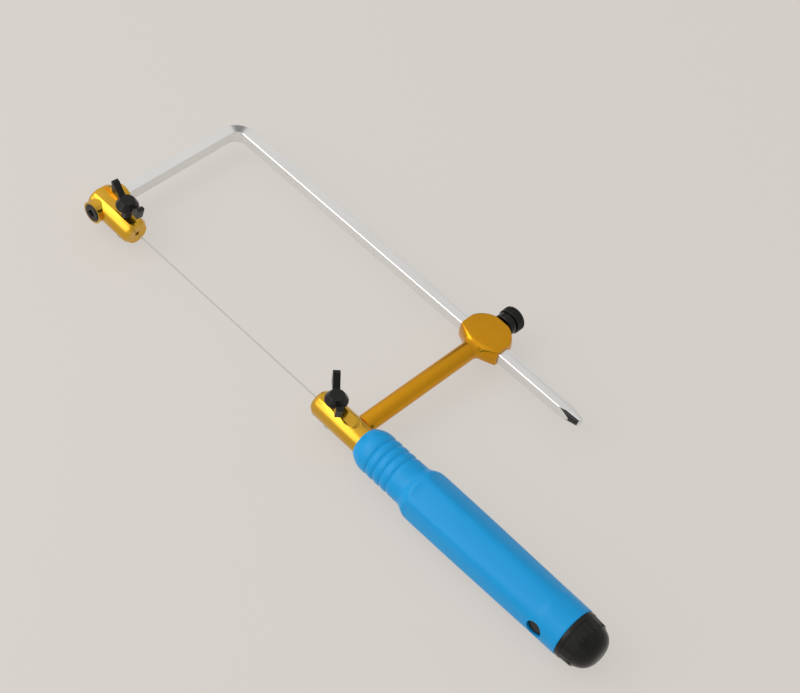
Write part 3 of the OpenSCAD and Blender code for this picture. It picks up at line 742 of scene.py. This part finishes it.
turns = np.arange(HEAD_TURNS) * math.tau / HEAD_TURNS
lock_rings = [(d, np.full(HEAD_TURNS, r)) for d, r in (
    (post_low.y - bar_y, SPIGOT_RADIUS),
    (SEAT_Y - bar_y, SPIGOT_RADIUS),
    (SEAT_Y - bar_y, POST_RADIUS),
)]
lock_rings += [(y, head_radius(y, turns)) for y in np.linspace(neck_y, face_y, HEAD_ROWS)]
lock_post = skin("lock_post", [
    [on_axis("Y", (post_x, bar_y, 0.0), y, r, a) for r, a in zip(radii, turns)]
    for y, radii in lock_rings
])
carve(lock_post, block(
    "bar_way",
    (post_low.x - CUT, bar_y - BAR_WAY, -BAR_WAY),
    (post_high.x + CUT, bar_y + BAR_WAY, BAR_WAY),
))
drill(lock_post, "Y", (post_x, 0.0, 0.0), bar_y, post_high.y + CUT, STUD_BORE)
ease_edges(lock_post, GOLD_EDGE, sharper_than=55)
settle(lock_post, orange_gold, "handle", "gold_anodised", "slide_post", crease=50)

# Lock screw: a black moulded knob on a steel stud that presses a brass pad on the bar. Its plain
# collar and its knurled grip meet at a narrow seam.
COLLAR_LENGTH = 3.0
KNOB_SEAM = 0.4
KNOB_EDGE = 0.5
COLLAR_INSET = 0.55
KNOB_LIP = 0.6
COLLAR_ROUND = 0.25
LIP_ROUND = 0.2
LIP_INSET = 0.05
KNOB_END_ROUND = 0.8
KNOB_STEPS = 112
RIDGE_SIDES = 12
KNURL_COUNT = 28
KNURL_STAND = 0.8
KNURL_RUNOUT = 0.7
KNURL_RADIUS = 0.36
THREAD_PITCH = 0.8
THREAD_DEPTH = 0.36
THREAD_STEPS = 48
THREAD_ROWS = 12
THREAD_FLANK = 1.15


def moulded_black(where):
    """Glossy moulded plastic, a little uneven in its sheen."""
    cloud = noise(where, 260.0, detail=3.0)
    grain = noise(where, 3500.0)
    return {
        "Base Color": tinted(cloud, (0.0035, 0.0035, 0.0033), (0.0060, 0.0058, 0.0055)),
        "Roughness": 0.16 + 0.12 * cloud,
        "Specular IOR Level": 0.29,
        "Normal": bump(grain, 0.004),
    }


def pad_brass(where):
    """Plain brass, slightly clouded."""
    cloud = noise(where, 500.0)
    return {
        "Base Color": tinted(cloud, (0.60, 0.44, 0.16), (0.72, 0.55, 0.22)),
        "Metallic": 1.0,
        "Roughness": 0.30 + 0.1 * cloud,
    }


def threaded(name, axis, centre, begin, end, radius):
    """Rod with a single-start thread whose crests follow a helix."""
    rows = int((end - begin) / THREAD_PITCH * THREAD_ROWS)
    rings = []
    for i in range(rows + 1):
        along = begin + (end - begin) * i / rows
        ring = []
        for j in range(THREAD_STEPS):
            phase = (along / THREAD_PITCH - j / THREAD_STEPS) % 1.0
            depth = THREAD_DEPTH * min(1.0, abs(2.0 * phase - 1.0) * THREAD_FLANK)
            ring.append(on_axis(axis, centre, along, radius - depth, math.tau * j / THREAD_STEPS))
        rings.append(ring)
    return skin(name, rings)


def redress(node, material):
    """Gives a CAD piece that keeps its own mesh a better finish."""
    mesh = bpy.data.objects[node].data
    mesh.materials.clear()
    mesh.materials.append(material)


ridge_tree, given = group_start("ring_of_ridges", (
    ("Count", "Int"), ("Ring Radius", "Float"), ("Ridge Radius", "Float"), ("Ridge Length", "Float"),
    ("Middle", "Float"), ("Lean", "Float"), ("Finish", "Material"),
))
begin = given["Geometry"]
ring = begin.node("GeometryNodeMeshCircle", None, {
    "Vertices": given["Count"], "Radius": given["Ring Radius"],
})
lift = begin.node("ShaderNodeCombineXYZ", None, {"Z": given["Middle"]})
ring = begin.node("GeometryNodeSetPosition", None, {"Geometry": ring, "Offset": lift})
ridge = begin.node("GeometryNodeMeshCylinder", None, {
    "Vertices": RIDGE_SIDES, "Radius": given["Ridge Radius"], "Depth": given["Ridge Length"],
})
index = begin.node("GeometryNodeInputIndex")
turn = index.math("DIVIDE", index, given["Count"]) * math.tau
stand = begin.node("ShaderNodeCombineXYZ", None, {"Y": given["Lean"], "Z": turn})
ridges = begin.node("GeometryNodeInstanceOnPoints", None, {
    "Points": ring, "Instance": ridge, "Rotation": stand,
})
group_end(begin, ridges, given["Finish"])

black_finish = finish("moulded_black", moulded_black)
brass_finish = finish("pad_brass", pad_brass)
knob_low, knob_high = size_of("lock_knob")
knob_r = (knob_high.x - knob_low.x) / 2
core_r = knob_r - KNURL_RADIUS * KNURL_STAND
knurl_foot = COLLAR_LENGTH + KNOB_SEAM
knob_length = knob_high.y - knob_low.y
collar_r = knob_r - COLLAR_INSET
lip_end = knurl_foot + KNOB_LIP
outline = arc((KNOB_EDGE, collar_r - KNOB_EDGE), KNOB_EDGE, 180, 90, steps=5)
outline += arc((COLLAR_LENGTH - COLLAR_ROUND, collar_r - COLLAR_ROUND), COLLAR_ROUND, 90, 0, steps=4)
outline += [(COLLAR_LENGTH, collar_r - COLLAR_ROUND), (knurl_foot, collar_r - COLLAR_ROUND)]
outline += arc((knurl_foot + LIP_ROUND, knob_r - LIP_INSET - LIP_ROUND), LIP_ROUND, 180, 90, steps=5)
outline += [(lip_end, knob_r - LIP_INSET), (lip_end, core_r)]
outline += arc((knob_length - KNOB_END_ROUND, core_r - KNOB_END_ROUND), KNOB_END_ROUND, 90, 0)
knurled_knob = turned("knurled_knob", "Z", (0.0, 0.0, 0.0), outline, KNOB_STEPS)
ridge_length = knob_length - lip_end - KNURL_RUNOUT
run_group(knurled_knob, ridge_tree, {
    "Count": KNURL_COUNT,
    "Ring Radius": knob_r - KNURL_RADIUS,
    "Ridge Radius": KNURL_RADIUS,
    "Ridge Length": ridge_length,
    "Middle": lip_end + ridge_length / 2,
    "Lean": 0.0,
    "Finish": black_finish,
})
knurled_knob.data.transform(
    Matrix.Translation((post_x, knob_low.y, 0.0)) @ Matrix.Rotation(math.radians(-90), 4, "X")
)
settle(knurled_knob, black_finish, "lock_screw", "black_plastic", "lock_knob", crease=40)

stud_low, stud_high = size_of("lock_stud")
stud_r = (stud_high.x - stud_low.x) / 2
lock_thread = threaded("lock_thread", "Y", (post_x, 0.0, 0.0), stud_low.y, stud_high.y, stud_r)
settle(lock_thread, oxide_finish, "lock_screw", "screw_steel", "lock_stud")
redress("lock_pad", brass_finish)

# Rear clamp: the same gold turning as the front one, with the post's seat in its side and a threaded
# tang that runs through the handle's neck. The nut and washer on the tang pull it into the handle.
FLAT_OVERRUN = 2.2
TANG_RADIUS = 3.0
INSERT_DEPTH = 4.5

handle_low, handle_high = size_of("handle_grip")
mouth_x = handle_low.x
insert_x = mouth_x + INSERT_DEPTH
rear_head = clamp_body("rear_head", rear_low.x, [(insert_x, clamp_r)])
tang_outline = [(insert_x - CUT, TANG_RADIUS), (rear_high.x, TANG_RADIUS)]
tang = turned("tang", "X", (0.0, 0.0, 0.0), tang_outline, BORE_STEPS)
carve(rear_head, tang, "UNION")
flat_end_x = post_x + FLAT_OVERRUN - MILL_RADIUS
mill_top = clamp_r + CUT
mill = block("mill", (rear_low.x - CUT, -MILL_RADIUS, FLAT_HEIGHT), (flat_end_x, MILL_RADIUS, mill_top))
mill_outline = [(FLAT_HEIGHT, MILL_RADIUS), (mill_top, MILL_RADIUS)]
mill_end = turned("mill_end", "Z", (flat_end_x, 0.0, 0.0), mill_outline, BORE_STEPS)
carve(mill, mill_end, "UNION")
carve(rear_head, mill)
drill(rear_head, "Y", (post_x, 0.0, 0.0), SEAT_Y, clamp_r + CUT, POST_RADIUS + LEG_ROOM)
drill(rear_head, "Y", (post_x, 0.0, 0.0), post_low.y, clamp_r + CUT, SPIGOT_RADIUS + LEG_ROOM)
bore_clamp(rear_head, rear_low.x, rear_screw_x, rear_high.x + CUT)
ease_edges(rear_head, GOLD_EDGE)
settle(rear_head, yellow_gold, "handle", "gold_anodised", "rear_clamp")
redress("tang_nut", steel_finish)
redress("tang_washer", steel_finish)

# Clamp screws: a steel stud with a moulded black wing knob on top. The two wings lean up and out from
# a coned hub with a short collar, with soft moulded edges all round. A brass pad under each stud
# holds the blade.
HUB_OUTLINE = ((-1.4, 2.7), (-0.9, 3.6), (0.0, 4.5), (0.5, 4.5), (3.0, 2.9))
WING_HALF = 1.4
WING_OUTLINE = ((1.6, 0.3), (8.3, 0.5), (9.2, 5.2), (9.2, 5.9), (7.7, 5.9), (2.8, 1.7), (1.6, 1.7))
WING_ANGLES = {"front": 174.0, "rear": 140.0}
MOULD_VOXEL = 0.14
MOULD_PASSES = 6
MOULD_FACTOR = 0.5


def moulded(piece):
    """Remeshes a joined piece finely and softens it, so that all its edges are moulded round."""
    modifier = piece.modifiers.new("remesh", "REMESH")
    modifier.mode = "VOXEL"
    modifier.voxel_size = MOULD_VOXEL
    modifier = piece.modifiers.new("soften", "SMOOTH")
    modifier.factor = MOULD_FACTOR
    modifier.iterations = MOULD_PASSES
    bake(piece)


for side, screw_x in (("front", front_screw_x), ("rear", rear_screw_x)):
    knob_foot = size_of(side + "_wing_knob")[0].z
    wing_knob = turned(side + "_wings", "Z", (0.0, 0.0, 0.0), HUB_OUTLINE, SCREW_STEPS)
    for way in (1.0, -1.0):
        wing_rings = [[(way * r, y, z) for r, z in WING_OUTLINE] for y in (-WING_HALF, WING_HALF)]
        carve(wing_knob, skin("wing", wing_rings), "UNION")
    moulded(wing_knob)
    wing_knob.data.transform(
        Matrix.Translation((screw_x, 0.0, knob_foot))
        @ Matrix.Rotation(math.radians(WING_ANGLES[side]), 4, "Z")
    )
    settle(wing_knob, black_finish, side + "_screw", "black_plastic", side + "_wing_knob", crease=60)
    low, high = size_of(side + "_stud")
    clamp_thread = threaded(side + "_thread", "Z", (screw_x, 0.0, 0.0), low.z, high.z, stud_r)
    settle(clamp_thread, oxide_finish, side + "_screw", "screw_steel", side + "_stud")
    redress(side + "_pad", brass_finish)

# Handle: a hollow blue moulding with a round nose, a ringed neck and a panelled grip. Six long flats with
# round ends run down the grip to a plain band at the butt, where a hole shows the latch of the cap.
HANDLE_TURNS = 192
HANDLE_ROWS = 300
NOSE_POINTS = (
    (0.0, 6.07), (0.6, 6.50), (1.3, 6.95), (2.2, 7.42),
    (3.4, 7.90), (4.6, 8.22), (5.6, 8.36), (7.0, 8.38),
)
GRIP_POINTS = (
    (24.4, 8.38), (25.4, 8.44), (26.6, 8.95), (28.0, 9.68),
    (29.4, 10.22), (30.8, 10.43), (33.0, 10.49),
)
BUTT_POINTS = ((53.0, 10.38), (71.0, 10.15), (89.0, 9.93), (96.0, 9.88), (102.9, 9.85), (103.2, 9.70))
GROOVE_START = 8.6
GROOVE_PITCH = 3.5
GROOVE_COUNT = 4
GROOVE_DEPTH = 0.42
GROOVE_SPREAD = 0.62
PANEL_COUNT = 6
PANEL_HEIGHT = 9.58
PANEL_CROWN = 40.0
PANEL_FIRST = 31.0
PANEL_LAST = 90.4
PANEL_CUTTER = 10.0
PANEL_BLEND = 0.18
HOLLOW_START = 26.0
HOLLOW_RADIUS = 7.0
BUTT_CHAMFER = 0.3
MOUTH_LIP = ((1.0, 5.80), (0.0, 5.92))
LIP_FOOT = 1.3
LATCH_HOLE = 3.35
LATCH_HOLE_Y = (-12.0, -5.0)
LATCH_SETBACK = 10.0


def blue_moulding(where):
    """Soft sheen on coloured plastic, with the faint mottle of the mould."""
    cloud = noise(where, 90.0, detail=3.0)
    grain = noise(where, 2200.0)
    return {
        "Base Color": tinted(cloud, (0.001, 0.290, 0.655), (0.003, 0.312, 0.695)),
        "Roughness": 0.29 + 0.10 * cloud,
        "Specular IOR Level": 0.26,
        "Normal": bump(grain, 0.006),
    }


def handle_radius(distance, angles):
    """Outer radius of the handle at one distance from its mouth, for an array of angles."""
    points = np.array(NOSE_POINTS + GRIP_POINTS + BUTT_POINTS)
    radius = np.interp(distance, points[:, 0], points[:, 1])
    for i in range(GROOVE_COUNT):
        away = (distance - GROOVE_START - GROOVE_PITCH * i) / GROOVE_SPREAD
        radius -= GROOVE_DEPTH * math.exp(-away ** 2)
    past_end = max(PANEL_FIRST - distance, distance - PANEL_LAST, 0.0)
    outer = np.full(len(angles), radius)
    if past_end >= PANEL_CUTTER:
        return outer
    height = PANEL_HEIGHT + PANEL_CUTTER - math.sqrt(PANEL_CUTTER ** 2 - past_end ** 2)
    for i in range(PANEL_COUNT):
        square_on = np.cos(angles - math.tau * i / PANEL_COUNT)
        away = PANEL_CROWN - height
        panel = np.sqrt(PANEL_CROWN ** 2 - away ** 2 * (1.0 - square_on ** 2)) - away * square_on
        outer = -PANEL_BLEND * np.logaddexp(-outer / PANEL_BLEND, -panel / PANEL_BLEND)
    return outer


grip_length = handle_high.x - mouth_x
turns = np.arange(HANDLE_TURNS) * math.tau / HANDLE_TURNS
rows = np.linspace(0.0, grip_length, HANDLE_ROWS)
profile = np.array([handle_radius(d, turns) for d in rows])
tang_way = TANG_RADIUS + LEG_ROOM
clamp_way = clamp_r + LEG_ROOM
inside = (
    (grip_length, HOLLOW_RADIUS + BUTT_CHAMFER),
    (grip_length - BUTT_CHAMFER, HOLLOW_RADIUS),
    (HOLLOW_START, HOLLOW_RADIUS),
    (HOLLOW_START, tang_way),
    (INSERT_DEPTH, tang_way),
    (INSERT_DEPTH, clamp_way),
    (LIP_FOOT, clamp_way),
    *MOUTH_LIP,
)
walls = list(zip(rows, profile))
walls += [(d, np.full(HANDLE_TURNS, r)) for d, r in inside]
handle_rings = [
    [(mouth_x + d, -r * math.cos(a), r * math.sin(a)) for r, a in zip(radii, turns)]
    for d, radii in walls
]
faces = []
for a in range(len(handle_rings)):
    here = a * HANDLE_TURNS
    there = (a + 1) % len(handle_rings) * HANDLE_TURNS
    for i in range(HANDLE_TURNS):
        j = (i + 1) % HANDLE_TURNS
        faces.append((here + i, here + j, there + j, there + i))
blue_handle = new_piece("blue_handle", [point for ring in handle_rings for point in ring], faces)
latch_x = handle_high.x - LATCH_SETBACK
drill(blue_handle, "Y", (latch_x, 0.0, 0.0), *LATCH_HOLE_Y, LATCH_HOLE)
blue_finish = finish("blue_moulding", blue_moulding)
settle(blue_handle, blue_finish, "handle", "blue_plastic", "handle_grip", crease=35)

# End cap: a black moulding that plugs into the handle's hollow. Fine ribs run along its tapered side up
# to a glossy dome. A slot in the plug takes the springy latch whose button shows in the handle's hole,
# with a pocket under the latch's root for its travel.
CAP_RIM = 2.0
RIM_ROUND = 0.25
SEAM_GAP = 0.02
CAP_STEPS = 144
RIB_COUNT = 24
RIB_RING = 9.16
RIB_LENGTH = 4.9
RIB_MIDDLE = 2.4
RIB_RADIUS = 0.5
RIB_PROUD = 0.15
RIB_LEAN = math.radians(4.0)
PLUG_LENGTH = 16.0
PLUG_RADIUS = 6.7
PLUG_CHAMFER = 0.6
SLOT_HALF = 3.35
SLOT_FLOOR = 1.95
ROOT_WALL = 1.2
ROOT_LENGTH = 2.3
ROOT_TRAVEL = 2.75
CAP_POINTS = (
    (2.0, 9.36), (4.8, 9.16), (6.6, 8.85), (7.4, 8.55), (8.3, 8.15), (9.1, 7.80), (9.8, 7.40),
    (10.5, 6.85), (11.2, 6.10), (11.8, 5.20), (12.3, 4.10), (12.6, 2.90), (12.75, 1.6), (12.8, 0.4),
)

cap_seam = handle_high.x
rim_r = size_of("end_cap")[1].z
cap_outline = [(-PLUG_LENGTH, PLUG_RADIUS - PLUG_CHAMFER), (PLUG_CHAMFER - PLUG_LENGTH, PLUG_RADIUS)]
cap_outline.append((SEAM_GAP, PLUG_RADIUS))
cap_outline += arc((SEAM_GAP + RIM_ROUND, rim_r - RIM_ROUND), RIM_ROUND, 180, 90, steps=4)
cap_outline += arc((CAP_RIM - RIM_ROUND, rim_r - RIM_ROUND), RIM_ROUND, 90, 20, steps=4)
cap_outline += CAP_POINTS
ribbed_cap = turned("ribbed_cap", "Z", (0.0, 0.0, 0.0), cap_outline, CAP_STEPS)
run_group(ribbed_cap, ridge_tree, {
    "Count": RIB_COUNT,
    "Ring Radius": RIB_RING + RIB_PROUD - RIB_RADIUS,
    "Ridge Radius": RIB_RADIUS,
    "Ridge Length": RIB_LENGTH,
    "Middle": CAP_RIM + RIB_MIDDLE,
    "Lean": -RIB_LEAN,
    "Finish": black_finish,
})
ribbed_cap.data.transform(
    Matrix.Translation((cap_seam, 0.0, 0.0)) @ Matrix.Rotation(math.radians(90), 4, "Y")
)
carve(ribbed_cap, block(
    "slot",
    (cap_seam - PLUG_LENGTH - CUT, -PLUG_RADIUS - CUT, -SLOT_HALF),
    (cap_seam - ROOT_WALL, -SLOT_FLOOR, SLOT_HALF),
))
carve(ribbed_cap, block(
    "root_pocket",
    (cap_seam - ROOT_WALL - ROOT_LENGTH, -SLOT_FLOOR - CUT, -SLOT_HALF),
    (cap_seam - ROOT_WALL, ROOT_TRAVEL - SLOT_FLOOR, SLOT_HALF),
))
settle(ribbed_cap, black_finish, "end_cap", "black_plastic", "end_cap", crease=40)
redress("cap_latch", black_finish)
